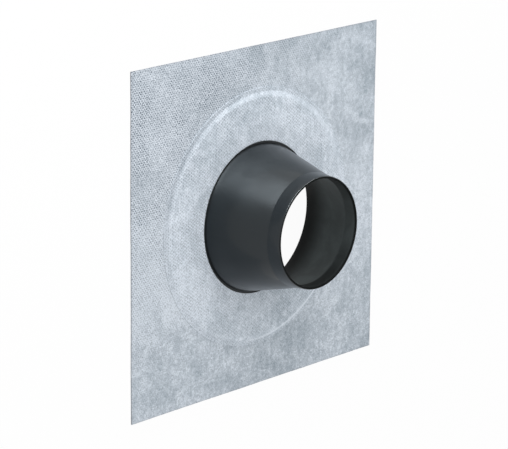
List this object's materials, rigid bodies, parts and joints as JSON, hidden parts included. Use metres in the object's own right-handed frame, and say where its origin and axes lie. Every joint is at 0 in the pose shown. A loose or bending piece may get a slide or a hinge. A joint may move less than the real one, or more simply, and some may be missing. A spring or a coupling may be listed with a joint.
{
  "type": "pipe sealing collar",
  "caption": "Square fleece sealing sheet with a coned rubber pipe collar through its middle, held under a round fleece cover ring; seals where a pipe passes a wall or roof.",
  "frame": {"origin": "centre of the sheet's underside, on the pipe's axis", "axes": "+Z along the pipe's axis, from the sheet towards the collar's lip; X and Y along the sheet's sides"},
  "size_m": [0.3, 0.3, 0.072],
  "materials": {
    "fleece": "embossed nonwoven, light blue-grey, matte",
    "rubber": "moulded elastomer, anthracite, satin"
  },
  "bodies": {
    "root": {"fleece_sheet": "fleece", "cover_ring": "fleece", "rubber_collar": "rubber"}
  },
  "joints": []
}
